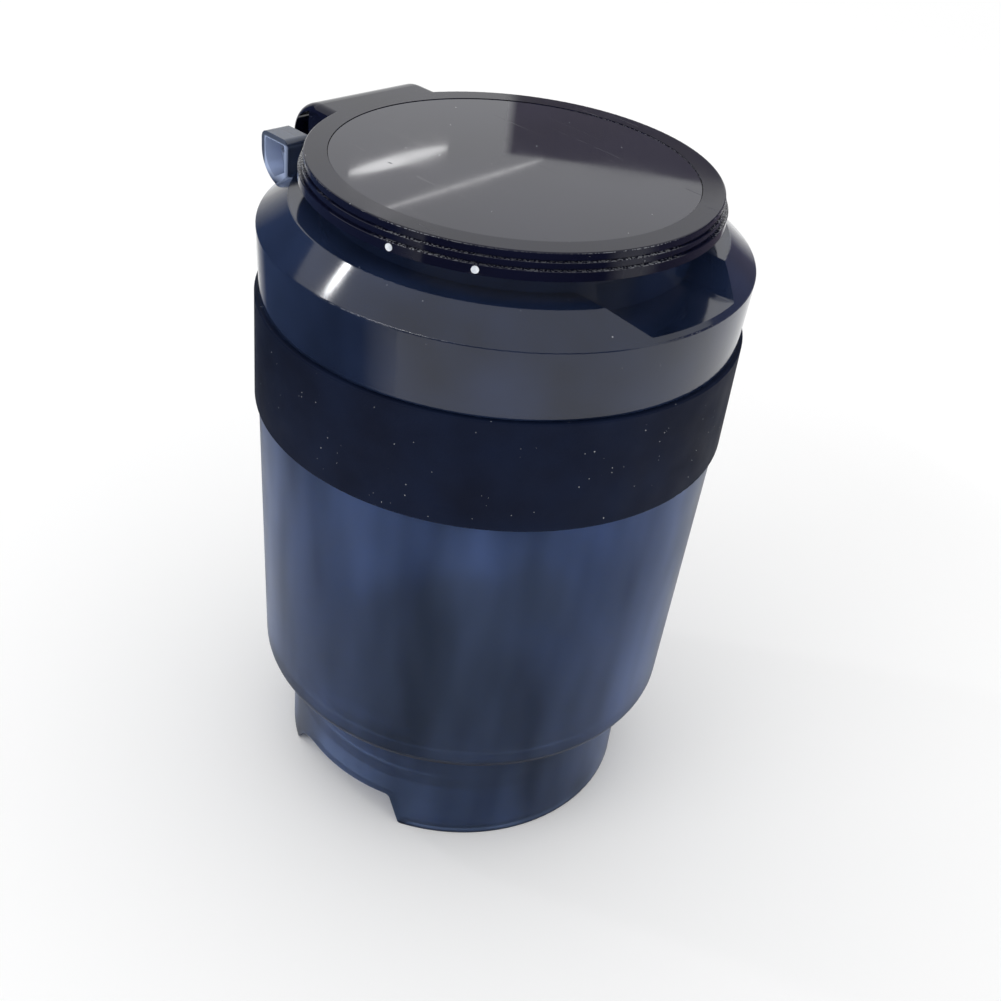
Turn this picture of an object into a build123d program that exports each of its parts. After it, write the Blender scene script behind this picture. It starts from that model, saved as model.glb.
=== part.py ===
from build123d import *

import os
from math import cos, radians, sin

os.makedirs("parts", exist_ok=True)

# Sizes are in millimetres. The tank stands on its foot at Z = 0.
# The lid's hinge is at +Y, and the finger notch that opens the lid is opposite, at -Y.

# Bucket: a foot of smaller diameter, a step, and a body that widens a little towards the mouth
body_top_radius = 59.4
body_draft = 2.2
body_height = 143.6
wall = 2.4
step_width = 8.2
step_round = 3.0
foot_height = 34.5
floor_height = 16.0
foot_notch_height = 10.2
foot_notch_stop_reach = 19.8
foot_notch_stop_flare = 3.2
foot_notch_stop_round = 1.5
foot_notch_lead_reach = 14.0
foot_notch_lead_flare = 7.0
foot_notch_lead_round = 12.0

# Grip band in its shallow seat round the top of the bucket
band_height = 29.0
band_seat_depth = 0.4
band_thickness = 1.35
band_fit = 0.05
band_gap = 0.2
band_round = 0.5

# Collar on the bucket: wall, cone, ledge and neck
collar_height = 16.8
collar_foot_inset = 0.1
collar_flare = 0.7
collar_wall = 3.0
cone_width = 7.4
cone_rise = 6.1
ledge_width = 7.6
neck_rise = 5.0
neck_wall = 3.5
rim_round = 0.6
edge_round = 0.5
tongue_length = 8.0
tongue_thickness = 2.1
tongue_fit = 0.3
shelf_thickness = 2.4
seal_wire_radius = 0.78
seal_groove_width = 2.0
seal_squeeze_gap = 0.02

# Finger notch in the collar, wider at the ledge than at its floor
notch_depth = 5.1
notch_floor_width = 29.0
notch_ledge_width = 42.0
notch_wall = 2.0
notch_round = 1.2

# Hinge: pin, collar lugs, the hood on the lid and the pocket that it turns in
hinge_inset = 0.1
hinge_drop = 3.2
pin_radius = 1.5
pin_press_fit = 0.01
pin_running_fit = 0.06
pin_end_stand = 1.2
hood_wall = 1.7
hood_half_length = 18.5
hood_tuck_angle = 15.0
hood_end_round = 3.0
hood_sweep_gap = 0.35
hood_lap = 0.15
knuckle_length = 5.0
knuckle_inset = 1.5
knuckle_wall = 1.8
pocket_wall = 2.0
pocket_neck_gap = 1.0
lug_gap = 5.0
lug_length = 7.0
lug_web = 2.4
lug_wall = 1.5
lug_rise = 4.2
lug_front_reach = 6.0
lug_back_reach = 4.6
lug_back_bulge = 1.1
lug_round = 2.0

# Lid: ridged side, recessed window, liner, gasket and screws
lid_thickness = 6.0
lid_gap = 0.1
lid_inset = 2.1
lid_band_stand = 0.7
lid_ridge_stand = 0.5
lid_band_height = 2.3
lid_ridge_height = 1.5
lid_groove_width = 0.2
lid_groove_depth = 0.2
lid_ridge_chamfer = 0.12
lid_skirt_gap = 1.4
lid_edge_round = 0.4
lid_border = 5.5
window_thickness = 1.4
window_sink = 0.15
window_fit = 0.04
lid_plate = 1.4
liner_flange_gap = 0.8
liner_thickness = 1.4
liner_skirt_gap = 0.9
liner_skirt_depth = 6.6
gasket_fit = 0.1
gasket_inset = 0.2
gasket_thickness = 1.65
screw_inset = 10.6
screw_count = 4
screw_radius = 1.0
screw_head_radius = 2.2
screw_head_height = 1.3
screw_hole_gap = 0.2
screw_tip_gap = 0.15
vent_disc_radius = 5.0
vent_disc_thickness = 1.0
vent_stem_radius = 1.3
vent_bulb_radius = 1.9
vent_fit = 0.05
dot_radius = 0.85
dot_edge_gap = 0.3
dot_depth = 0.6
dot_stand = 0.15
dot_fit = 0.02
dot_angles = (-166.7, -144.7)

# Outlet valve in the floor
bush_bore_radius = 5.0
bush_wall = 3.0
bush_nose_wall = 2.5
bush_nose_length = 7.5
bush_flange_width = 4.5
bush_flange_thickness = 2.4
bush_floor_gap = 0.2
spider_thickness = 2.0
spider_hub_wall = 1.35
spider_arm_width = 1.8
spider_arm_count = 3
outlet_gasket_thickness = 1.2
nut_wall = 3.95
nut_thickness = 6.0
nut_fit = 0.05
stem_radius = 2.0
stem_fit = 0.05
stem_end_rise = 0.7
stem_head_thickness = 1.6
valve_seat_width = 2.2
valve_seal_lip = 0.4
valve_seal_thickness = 1.4
valve_seal_gap = 0.05
valve_seal_fit = 0.02
valve_lift = 4.0
clip_width = 2.3
clip_thickness = 1.2
clip_stand = 1.6
clip_fit = 0.02
spring_stem_gap = 0.7
spring_wire_radius = 0.4
spring_turns = 4
spring_end_gap = 0.1

# Strainer over the outlet
strainer_room = 3.7
strainer_wall = 1.2
strainer_height = 24.0
strainer_flange_width = 2.8
strainer_flange_thickness = 1.6
strainer_flange_gap = 0.3
strainer_slot_width = 2.4
strainer_slot_count = 12
strainer_slot_rise = 4.0
strainer_slot_height = 15.0

# Float that swings on the strainer's ears
float_pivot_stand = 5.3
float_pivot_rise = 11.6
float_pin_radius = 1.2
float_pin_fit = 0.02
float_running_fit = 0.06
ear_thickness = 2.0
ear_wall = 1.6
ear_gap = 0.3
arm_half_width = 4.5
arm_thickness = 2.4
arm_hub_wall = 1.6
float_wall_gap = 4.1
float_half_width = 10.5
float_height = 11.0
float_arm_length = 8.0
float_round = 2.0
magnet_radius = 3.0
magnet_thickness = 3.0
magnet_fit = 0.02

# Places that follow from the sizes above
body_bottom_radius = body_top_radius - body_draft
foot_radius = body_bottom_radius - step_width
floor_top = floor_height + wall
foot_inner_radius = foot_radius - wall
step_floor = foot_height + wall
band_bottom = body_height - band_height
seat_radius = body_top_radius - band_seat_depth
body_inner_radius = seat_radius - wall
body_low_inner_radius = body_bottom_radius - wall
band_inner_radius = seat_radius + band_fit
band_radius = band_inner_radius + band_thickness
collar_foot_radius = body_top_radius - collar_foot_inset
rim_radius = collar_foot_radius + collar_flare
rim_height = body_height + collar_height
ledge_radius = rim_radius - cone_width
ledge_height = rim_height + cone_rise
neck_radius = ledge_radius - ledge_width
mouth_radius = neck_radius - neck_wall
neck_top = ledge_height + neck_rise
lid_bottom = neck_top + lid_gap
lid_top = lid_bottom + lid_thickness
lid_radius = ledge_radius - lid_inset
lid_ridge_radius = lid_radius - lid_band_stand
lid_top_radius = lid_ridge_radius - lid_ridge_stand
lid_skirt_inner_radius = neck_radius + lid_skirt_gap
hinge_reach = ledge_radius - hinge_inset
hinge_height = lid_bottom - hinge_drop
hood_radius = lid_top - hinge_height
hood_inner_radius = hood_radius - hood_wall
pocket_radius = hood_radius + hood_sweep_gap
window_radius = lid_top_radius - lid_border
plate_top = lid_top - window_sink - window_thickness
plate_bottom = plate_top - lid_plate
liner_bottom = plate_bottom - liner_thickness
liner_flange_radius = lid_skirt_inner_radius - liner_flange_gap
liner_skirt_radius = mouth_radius - liner_skirt_gap
gasket_radius = neck_radius - gasket_inset
screw_circle_radius = liner_skirt_radius - screw_inset
bush_radius = bush_bore_radius + bush_wall
bush_nose_radius = bush_bore_radius + bush_nose_wall
bush_flange_radius = bush_radius + bush_flange_width
bush_hole_radius = bush_radius + bush_floor_gap
bush_flange_bottom = floor_top + outlet_gasket_thickness
bush_top = bush_flange_bottom + bush_flange_thickness
nut_bottom = floor_height - nut_thickness
nut_flat_width = 2 * (bush_radius + nut_fit + nut_wall)
bush_end_height = nut_bottom - bush_nose_length
stem_end_height = bush_end_height + stem_end_rise
valve_seal_radius = bush_bore_radius + valve_seat_width
stem_head_radius = valve_seal_radius - valve_seal_lip
clip_radius = stem_radius + clip_width
clip_bottom = stem_end_height + clip_stand
clip_top = clip_bottom + clip_thickness
spring_radius = stem_radius + spring_stem_gap + spring_wire_radius
spring_shut_length = 2 * spring_wire_radius * (spring_turns + 1)
spider_height = clip_top + valve_lift + spring_shut_length
spider_hub_radius = stem_radius + stem_fit + spider_hub_wall
strainer_radius = bush_flange_radius + strainer_room
strainer_flange_radius = strainer_radius + strainer_flange_width
float_pivot_reach = strainer_radius + float_pivot_stand
float_pivot_height = floor_top + float_pivot_rise
ear_round = float_pin_radius + ear_wall
arm_hub_radius = float_pin_radius + arm_hub_wall


def corner(sketch, across, up):
    """The sketch's corner nearest to a point of its own plane."""
    return sketch.vertices().sort_by_distance((across, up))[0]


# Bucket, hollow down to a floor that stands clear of the surface inside the foot
with BuildPart() as tank_body:
    with BuildSketch(Plane.XZ) as bucket_section:
        with BuildLine():
            Polyline(
                (foot_inner_radius, 0),
                (foot_radius, 0),
                (foot_radius, foot_height),
                (body_bottom_radius, foot_height),
                (body_top_radius, band_bottom),
                (seat_radius, band_bottom),
                (seat_radius, body_height),
                (body_inner_radius, body_height),
                (body_inner_radius, band_bottom),
                (body_low_inner_radius, step_floor),
                (foot_inner_radius, step_floor),
                (foot_inner_radius, floor_top),
                (bush_hole_radius, floor_top),
                (bush_hole_radius, floor_height),
                (foot_inner_radius, floor_height),
                close=True,
            )
        make_face()
        fillet(corner(bucket_section, body_bottom_radius, foot_height), step_round)
        fillet(corner(bucket_section, body_low_inner_radius, step_floor), step_round)
        fillet(corner(bucket_section, foot_inner_radius, step_floor), step_round - wall / 2)
        fillet(corner(bucket_section, foot_inner_radius, floor_top), step_round)
        fillet(corner(bucket_section, foot_radius, 0), edge_round)
    revolve(axis=Axis.Z)
    stop_foot = foot_notch_stop_reach + foot_notch_stop_flare
    stop_out = stop_foot + foot_notch_stop_flare
    lead_foot = foot_notch_lead_reach + foot_notch_lead_flare
    lead_out = lead_foot + foot_notch_lead_flare
    for notch_plane in (Plane.YZ, Plane.YZ.rotated((0, 0, 180))):
        with BuildSketch(notch_plane) as foot_notch:
            with BuildLine():
                Polyline(
                    (-stop_out, -wall),
                    (-stop_out, 0),
                    (-stop_foot, 0),
                    (-foot_notch_stop_reach, foot_notch_height),
                    (foot_notch_lead_reach, foot_notch_height),
                    (lead_foot, 0),
                    (lead_out, 0),
                    (lead_out, -wall),
                    close=True,
                )
            make_face()
            fillet(corner(foot_notch, -foot_notch_stop_reach, foot_notch_height), foot_notch_stop_round)
            fillet(corner(foot_notch, foot_notch_lead_reach, foot_notch_height), foot_notch_lead_round)
            for across in (-stop_foot, lead_foot):
                fillet(corner(foot_notch, across, 0), foot_notch_stop_round)
        extrude(amount=-rim_radius, mode=Mode.SUBTRACT)
tank_body.part.label = "tank_body"
export_step(tank_body.part, "parts/tank_body.step")

# Grip band, a rubber sleeve pulled over the bucket
with BuildPart() as grip_band:
    with BuildSketch(Plane.XZ) as band_section:
        with BuildLine():
            Polyline(
                (band_inner_radius, band_bottom + band_gap),
                (band_radius, band_bottom + band_gap),
                (band_radius, body_height - band_gap),
                (band_inner_radius, body_height - band_gap),
                close=True,
            )
        make_face()
        fillet(corner(band_section, band_radius, band_bottom), band_round)
        fillet(corner(band_section, band_radius, body_height), band_round)
    revolve(axis=Axis.Z)
grip_band.part.label = "grip_band"
export_step(grip_band.part, "parts/grip_band.step")

# Collar's places
collar_inner_radius = collar_foot_radius - wall
tongue_radius = body_inner_radius - tongue_fit
tongue_inner_radius = tongue_radius - tongue_thickness
tongue_bottom = body_height - tongue_length
shelf_top = body_height + shelf_thickness
seal_height = tongue_bottom + tongue_length / 2
seal_center_radius = body_inner_radius - seal_squeeze_gap - seal_wire_radius
groove_radius = seal_center_radius - seal_wire_radius - seal_squeeze_gap
cone_slope = cone_rise / cone_width
ceiling = ledge_height - collar_wall
ceiling_radius = ledge_radius - cone_slope
cheek_height = ceiling - (collar_inner_radius - ceiling_radius) * cone_slope
notch_floor = ledge_height - notch_depth
notch_lean = (notch_ledge_width - notch_floor_width) / 2 / notch_depth


def notch_outline(grow):
    """Corners of the notch's section, grown outwards by a wall and carried on above the ledge."""
    low = notch_floor - grow
    half_low = notch_floor_width / 2 + grow
    half_high = half_low + (lid_bottom - low) * notch_lean
    return [(-half_low, low), (half_low, low), (half_high, lid_bottom), (-half_high, lid_bottom)]


# Tool that cuts the finger notch down to the neck
with BuildPart() as notch_cut:
    with BuildSketch(Plane.XZ) as notch_section:
        with BuildLine():
            Polyline(*notch_outline(0), close=True)
        make_face()
        for side in (-1, 1):
            fillet(corner(notch_section, side * notch_floor_width / 2, notch_floor), notch_round)
    extrude(amount=rim_radius + wall)
    Cylinder(neck_radius, 4 * rim_height, mode=Mode.SUBTRACT)

# Space inside the collar's outer faces, in which the walls of the notch and of the hinge pocket lie
core_bottom = hinge_height - pocket_radius - pocket_wall
with BuildPart() as collar_core:
    with BuildSketch(Plane.XZ):
        with BuildLine():
            Polyline(
                (mouth_radius, core_bottom),
                (rim_radius - wall / 2, core_bottom),
                (rim_radius - wall / 2, rim_height - rim_round),
                (ledge_radius - wall / 2, ledge_height - rim_round),
                (mouth_radius, ledge_height - rim_round),
                close=True,
            )
        make_face()
    revolve(axis=Axis.Z)

# Wall behind the finger notch
with BuildPart() as notch_shell:
    add(collar_core.part)
    with BuildSketch(Plane.XZ):
        with BuildLine():
            Polyline(*notch_outline(notch_wall), close=True)
        make_face()
    extrude(amount=rim_radius, mode=Mode.INTERSECT)

# Wall round the pocket that the hood turns in, and the tool that cuts the pocket behind the neck
pocket_half_length = hood_half_length + lug_gap / 2
with BuildPart() as pocket_shell:
    add(collar_core.part)
    with BuildSketch(Plane.YZ.offset(-pocket_half_length - pocket_wall)):
        with Locations((hinge_reach, hinge_height)):
            Circle(pocket_radius + pocket_wall)
    extrude(amount=2 * (pocket_half_length + pocket_wall), mode=Mode.INTERSECT)
with BuildPart() as pocket_cut:
    with BuildSketch(Plane.YZ.offset(-pocket_half_length)):
        with Locations((hinge_reach, hinge_height)):
            Circle(pocket_radius)
        with Locations((neck_radius + pocket_neck_gap, hinge_height)):
            Rectangle(4 * pocket_radius, 4 * pocket_radius, align=(Align.MIN, Align.CENTER), mode=Mode.INTERSECT)
    extrude(amount=2 * pocket_half_length)

# Hinge lug's places, and its section: upright in front, flat on top and bulging behind, down to the rim
lug_start = hood_half_length + lug_gap
lug_end = lug_start + lug_length
lug_front = hinge_reach - lug_front_reach
lug_back = hinge_reach + lug_back_reach
lug_top = hinge_height + lug_rise
lug_core = lug_length - lug_web
lug_foot_reach = (rim_radius**2 - lug_end**2) ** 0.5
with BuildSketch() as lug_section:
    with BuildLine():
        Polyline(
            (lug_foot_reach, rim_height),
            (lug_front, ledge_height - collar_wall),
            (lug_front, lug_top),
            (lug_back, lug_top),
            (lug_back, hinge_height),
        )
        ThreePointArc(
            (lug_back, hinge_height),
            ((lug_back + lug_foot_reach) / 2 + lug_back_bulge, (hinge_height + rim_height) / 2 - lug_back_bulge),
            (lug_foot_reach, rim_height),
        )
    make_face()
    fillet(corner(lug_section, lug_front, lug_top), lug_round)
    fillet(corner(lug_section, lug_back, lug_top), lug_round)
with BuildSketch() as lug_core_section:
    add(lug_section.sketch)
    offset(amount=-lug_wall, mode=Mode.REPLACE)

# Collar: shoulder, neck, tongue with its seal groove, finger notch, hinge pocket and two cored hinge lugs
with BuildPart() as collar:
    with BuildSketch(Plane.XZ) as collar_section:
        with BuildLine():
            Polyline(
                (tongue_radius, body_height),
                (collar_foot_radius, body_height),
                (rim_radius, rim_height),
                (ledge_radius, ledge_height),
                (neck_radius, ledge_height),
                (neck_radius, neck_top),
                (mouth_radius, neck_top),
                (mouth_radius, ceiling),
                (ceiling_radius, ceiling),
                (collar_inner_radius, cheek_height),
                (collar_inner_radius, shelf_top),
                (tongue_inner_radius, shelf_top),
                (tongue_inner_radius, tongue_bottom),
                (tongue_radius, tongue_bottom),
                (tongue_radius, seal_height - seal_groove_width / 2),
                (groove_radius, seal_height - seal_groove_width / 2),
                (groove_radius, seal_height + seal_groove_width / 2),
                (tongue_radius, seal_height + seal_groove_width / 2),
                close=True,
            )
        make_face()
        fillet(corner(collar_section, rim_radius, rim_height), rim_round)
        fillet(corner(collar_section, ledge_radius, ledge_height), edge_round)
        fillet(corner(collar_section, neck_radius, neck_top), edge_round)
        fillet(corner(collar_section, mouth_radius, neck_top), edge_round)
    revolve(axis=Axis.Z)
    add(notch_shell.part)
    add(pocket_shell.part)
    add(notch_cut.part, mode=Mode.SUBTRACT)
    add(pocket_cut.part, mode=Mode.SUBTRACT)
    for lug_place, core_place in ((lug_start, lug_end - lug_core), (-lug_end, -lug_end)):
        with BuildSketch(Plane.YZ.offset(lug_place)):
            add(lug_section.sketch)
        extrude(amount=lug_length)
        with BuildSketch(Plane.YZ.offset(core_place)):
            add(lug_core_section.sketch)
        extrude(amount=lug_core, mode=Mode.SUBTRACT)
    with BuildSketch(Plane.YZ.offset(-lug_end)):
        with Locations((hinge_reach, hinge_height)):
            Circle(pin_radius + pin_press_fit)
    extrude(amount=2 * lug_end, mode=Mode.SUBTRACT)
collar.part.label = "collar"
export_step(collar.part, "parts/collar.step")

# Seal ring in the tongue's groove
with BuildPart() as collar_seal:
    with BuildSketch(Plane.XZ):
        with Locations((seal_center_radius, seal_height)):
            Circle(seal_wire_radius)
    revolve(axis=Axis.Z)
collar_seal.part.label = "collar_seal"
export_step(collar_seal.part, "parts/collar_seal.step")

# Hinge pin, pressed into the lugs' webs
pin_half_length = lug_start + lug_web + pin_end_stand
with BuildPart() as hinge_pin:
    with BuildSketch(Plane.YZ.offset(-pin_half_length)):
        with Locations((hinge_reach, hinge_height)):
            Circle(pin_radius)
    extrude(amount=2 * pin_half_length)
    chamfer(hinge_pin.edges().filter_by(GeomType.CIRCLE), pin_radius / 5)
hinge_pin.part.label = "hinge_pin"
export_step(hinge_pin.part, "parts/hinge_pin.step")

# Lid's places
band_top = lid_bottom + lid_band_height
ridge_bottom = band_top + lid_groove_width
ridge_top = ridge_bottom + lid_ridge_height
crown_bottom = ridge_top + lid_groove_width
screw_tip = plate_top - screw_tip_gap
dot_height = band_top - dot_edge_gap - dot_radius
hood_front = (window_radius + lid_skirt_inner_radius) / 2
hood_under = lid_skirt_inner_radius + hood_lap
hood_bore_half_length = hood_half_length + hood_sweep_gap
knuckle_radius = pin_radius + pin_running_fit + knuckle_wall


def dot_plane(angle, radius):
    """A plane that faces outwards from the lid's side at one of the index dots."""
    out = Vector(cos(radians(angle)), sin(radians(angle)), 0)
    return Plane(origin=out * radius + Vector(0, 0, dot_height), z_dir=out)


# Hood over the hinge: it carries on the lid's top and turns down behind the pin
with BuildPart() as hood:
    with BuildSketch(Plane.YZ.offset(-hood_half_length)):
        with BuildLine():
            crown = CenterArc((hinge_reach, hinge_height), hood_radius, -hood_tuck_angle, 90 + hood_tuck_angle)
            Polyline(
                crown @ 1,
                (hood_front, lid_top),
                (hood_front, plate_bottom),
                (hood_under, plate_bottom),
                (hood_under, lid_bottom + lid_band_height / 2),
                crown @ 0,
            )
        make_face()
    extrude(amount=2 * hood_half_length)
    crown_ends = hood.edges().filter_by(GeomType.CIRCLE)
    fillet(crown_ends, hood_end_round)

# Lid frame: plate with a recess for the window, ridged side, and a hinge hood with two knuckles
with BuildPart() as lid_frame:
    with BuildSketch(Plane.XZ) as lid_section:
        with BuildLine():
            Polyline(
                (0, plate_bottom),
                (0, plate_top),
                (window_radius + window_fit, plate_top),
                (window_radius + window_fit, lid_top),
                (lid_top_radius, lid_top),
                (lid_top_radius, crown_bottom),
                (lid_top_radius - lid_groove_depth, crown_bottom),
                (lid_top_radius - lid_groove_depth, ridge_top),
                (lid_ridge_radius, ridge_top),
                (lid_ridge_radius, ridge_bottom),
                (lid_ridge_radius - lid_groove_depth, ridge_bottom),
                (lid_ridge_radius - lid_groove_depth, band_top),
                (lid_radius, band_top),
                (lid_radius, lid_bottom),
                (lid_skirt_inner_radius, lid_bottom),
                (lid_skirt_inner_radius, plate_bottom),
                close=True,
            )
        make_face()
        fillet(corner(lid_section, lid_top_radius, lid_top), lid_edge_round)
        for across, up in (
            (lid_top_radius, crown_bottom),
            (lid_ridge_radius, ridge_top),
            (lid_ridge_radius, ridge_bottom),
            (lid_radius, band_top),
            (lid_radius, lid_bottom),
        ):
            chamfer(corner(lid_section, across, up), lid_ridge_chamfer)
    revolve(axis=Axis.Z)
    add(hood.part)
    with BuildSketch(Plane.YZ.offset(-hood_bore_half_length)):
        with Locations((hinge_reach, hinge_height)):
            Circle(hood_inner_radius)
    extrude(amount=2 * hood_bore_half_length, mode=Mode.SUBTRACT)
    knuckle_start = hood_half_length - knuckle_inset - knuckle_length
    for start in (knuckle_start, -knuckle_start - knuckle_length):
        with BuildSketch(Plane.YZ.offset(start)):
            with Locations((hinge_reach, hinge_height)):
                Circle(knuckle_radius)
                Rectangle(
                    2 * knuckle_radius,
                    hood_inner_radius + hood_lap,
                    align=(Align.CENTER, Align.MIN),
                )
        extrude(amount=knuckle_length)
    with BuildSketch(Plane.YZ.offset(-hood_half_length)):
        with Locations((hinge_reach, hinge_height)):
            Circle(pin_radius + pin_running_fit)
    extrude(amount=2 * hood_half_length, mode=Mode.SUBTRACT)
    with Locations((0, 0, plate_top)):
        Hole(vent_bulb_radius + vent_fit, depth=lid_plate)
    with Locations((0, 0, plate_top)):
        with PolarLocations(screw_circle_radius, screw_count, 45):
            Hole(screw_radius, depth=lid_plate)
    for angle in dot_angles:
        with BuildSketch(dot_plane(angle, lid_radius - dot_depth)):
            Circle(dot_radius + dot_fit)
        extrude(amount=lid_thickness, mode=Mode.SUBTRACT)
lid_frame.part.label = "lid_frame"
export_step(lid_frame.part, "parts/lid_frame.step")

# Window disc, bonded into the lid's recess
with BuildPart() as lid_window:
    with BuildSketch(Plane.XY.offset(plate_top)):
        Circle(window_radius)
    extrude(amount=window_thickness)
    fillet(lid_window.faces().sort_by(Axis.Z)[-1].edges(), lid_edge_round / 2)
lid_window.part.label = "lid_window"
export_step(lid_window.part, "parts/lid_window.step")

# Two index dots on the lid's side, one node of two pieces
with BuildPart() as index_dots:
    for angle in dot_angles:
        with BuildSketch(dot_plane(angle, lid_radius - dot_depth)):
            Circle(dot_radius)
        extrude(amount=dot_depth + dot_stand)
index_dots.part.label = "index_dots"
export_step(index_dots.part, "parts/index_dots.step")

# Liner under the lid, whose skirt goes into the neck
with BuildPart() as lid_liner:
    with BuildSketch(Plane.XZ):
        with BuildLine():
            Polyline(
                (0, liner_bottom),
                (0, plate_bottom),
                (liner_flange_radius, plate_bottom),
                (liner_flange_radius, liner_bottom),
                (liner_skirt_radius, liner_bottom),
                (liner_skirt_radius, liner_bottom - liner_skirt_depth),
                (liner_skirt_radius - liner_thickness, liner_bottom - liner_skirt_depth),
                (liner_skirt_radius - liner_thickness, liner_bottom),
                close=True,
            )
        make_face()
    revolve(axis=Axis.Z)
    with Locations((0, 0, plate_bottom)):
        Hole(vent_stem_radius + vent_fit, depth=liner_thickness)
    with Locations((0, 0, plate_bottom)):
        with PolarLocations(screw_circle_radius, screw_count, 45):
            Hole(screw_radius + screw_hole_gap, depth=liner_thickness)
lid_liner.part.label = "lid_liner"
export_step(lid_liner.part, "parts/lid_liner.step")

# Gasket on the liner's flange, which closes on the neck
with BuildPart() as lid_gasket:
    with BuildSketch(Plane.XY.offset(liner_bottom - gasket_thickness)):
        Circle(gasket_radius)
        Circle(liner_skirt_radius + gasket_fit, mode=Mode.SUBTRACT)
    extrude(amount=gasket_thickness)
lid_gasket.part.label = "lid_gasket"
export_step(lid_gasket.part, "parts/lid_gasket.step")

# Screws that hold the liner to the lid frame, one node of separate pieces
with BuildPart() as liner_screws:
    with BuildSketch(Plane.XY.offset(liner_bottom - screw_head_height)):
        with PolarLocations(screw_circle_radius, screw_count, 45):
            Circle(screw_head_radius)
    extrude(amount=screw_head_height)
    with BuildSketch(Plane.XY.offset(liner_bottom)):
        with PolarLocations(screw_circle_radius, screw_count, 45):
            Circle(screw_radius)
    extrude(amount=screw_tip - liner_bottom)
    fillet(liner_screws.faces().group_by(Axis.Z)[0].edges(), screw_head_height / 2)
liner_screws.part.label = "liner_screws"
export_step(liner_screws.part, "parts/liner_screws.step")

# Vent: a soft umbrella flap under the liner that lets air in as water runs out
with BuildPart() as vent_flap:
    with BuildSketch(Plane.XZ):
        with BuildLine():
            Polyline(
                (0, liner_bottom - vent_disc_thickness),
                (vent_stem_radius, liner_bottom - vent_disc_thickness),
                (vent_disc_radius, liner_bottom - vent_disc_thickness / 2),
                (vent_disc_radius, liner_bottom),
                (vent_stem_radius, liner_bottom),
                (vent_stem_radius, plate_bottom),
                (vent_bulb_radius, plate_bottom),
                (vent_stem_radius, screw_tip),
                (0, screw_tip),
                close=True,
            )
        make_face()
    revolve(axis=Axis.Z)
vent_flap.part.label = "vent_flap"
export_step(vent_flap.part, "parts/vent_flap.step")

# Outlet bush through the floor, with a plain nose below the nut and a three-armed guide for the stem
with BuildPart() as outlet_bush:
    with BuildSketch(Plane.XZ):
        with BuildLine():
            Polyline(
                (bush_bore_radius, bush_end_height),
                (bush_nose_radius, bush_end_height),
                (bush_nose_radius, nut_bottom),
                (bush_radius, nut_bottom),
                (bush_radius, bush_flange_bottom),
                (bush_flange_radius, bush_flange_bottom),
                (bush_flange_radius, bush_top),
                (bush_bore_radius, bush_top),
                close=True,
            )
        make_face()
    revolve(axis=Axis.Z)
    with BuildSketch(Plane.XY.offset(spider_height)):
        Circle(spider_hub_radius)
        with PolarLocations(bush_bore_radius / 2, spider_arm_count):
            Rectangle(bush_bore_radius + spider_arm_width, spider_arm_width)
        Circle(stem_radius + stem_fit, mode=Mode.SUBTRACT)
    extrude(amount=spider_thickness)
outlet_bush.part.label = "outlet_bush"
export_step(outlet_bush.part, "parts/outlet_bush.step")

# Flat gasket between the bush's flange and the floor
with BuildPart() as outlet_gasket:
    with BuildSketch(Plane.XY.offset(floor_top)):
        Circle(bush_flange_radius - edge_round)
        Circle(bush_hole_radius, mode=Mode.SUBTRACT)
    extrude(amount=outlet_gasket_thickness)
outlet_gasket.part.label = "outlet_gasket"
export_step(outlet_gasket.part, "parts/outlet_gasket.step")

# Nut that clamps the bush from under the floor
with BuildPart() as outlet_nut:
    with BuildSketch(Plane.XY.offset(nut_bottom)):
        RegularPolygon(nut_flat_width / 2, 6, major_radius=False)
        Circle(bush_radius + nut_fit, mode=Mode.SUBTRACT)
    extrude(amount=nut_thickness)
outlet_nut.part.label = "outlet_nut"
export_step(outlet_nut.part, "parts/outlet_nut.step")

# Valve stem, which a post under the tank lifts, with its head, seal and spring clip
seal_bottom = bush_top + valve_seal_gap
seal_top = seal_bottom + valve_seal_thickness
with BuildPart() as outlet_stem:
    with BuildSketch(Plane.XY.offset(stem_end_height)):
        Circle(stem_radius)
    extrude(amount=seal_top - stem_end_height)
    with BuildSketch(Plane.XY.offset(seal_top)):
        Circle(stem_head_radius)
    extrude(amount=stem_head_thickness)
    fillet(outlet_stem.faces().sort_by(Axis.Z)[-1].edges(), edge_round)
    chamfer(outlet_stem.faces().sort_by(Axis.Z)[0].edges(), edge_round)
outlet_stem.part.label = "outlet_stem"
export_step(outlet_stem.part, "parts/outlet_stem.step")

# Soft disc under the stem's head
with BuildPart() as outlet_seal:
    with BuildSketch(Plane.XY.offset(seal_bottom)):
        Circle(valve_seal_radius)
        Circle(stem_radius + valve_seal_fit, mode=Mode.SUBTRACT)
    extrude(amount=valve_seal_thickness)
outlet_seal.part.label = "outlet_seal"
export_step(outlet_seal.part, "parts/outlet_seal.step")

# Clip on the stem's foot, which carries the spring
with BuildPart() as outlet_clip:
    with BuildSketch(Plane.XY.offset(clip_bottom)):
        Circle(clip_radius)
        Circle(stem_radius + clip_fit, mode=Mode.SUBTRACT)
    extrude(amount=clip_thickness)
outlet_clip.part.label = "outlet_clip"
export_step(outlet_clip.part, "parts/outlet_clip.step")

# Coil spring that holds the valve shut, between the clip and the bush's guide
spring_low = clip_top + spring_end_gap + spring_wire_radius
spring_high = spider_height - spring_end_gap - spring_wire_radius
with BuildPart() as outlet_spring:
    with BuildLine():
        coil = Helix(
            pitch=(spring_high - spring_low) / spring_turns,
            height=spring_high - spring_low,
            radius=spring_radius,
            center=(0, 0, spring_low),
        )
    with BuildSketch(Plane(origin=coil @ 0, z_dir=coil % 0)):
        Circle(spring_wire_radius)
    sweep(path=coil, is_frenet=True)
outlet_spring.part.label = "outlet_spring"
export_step(outlet_spring.part, "parts/outlet_spring.step")

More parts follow.
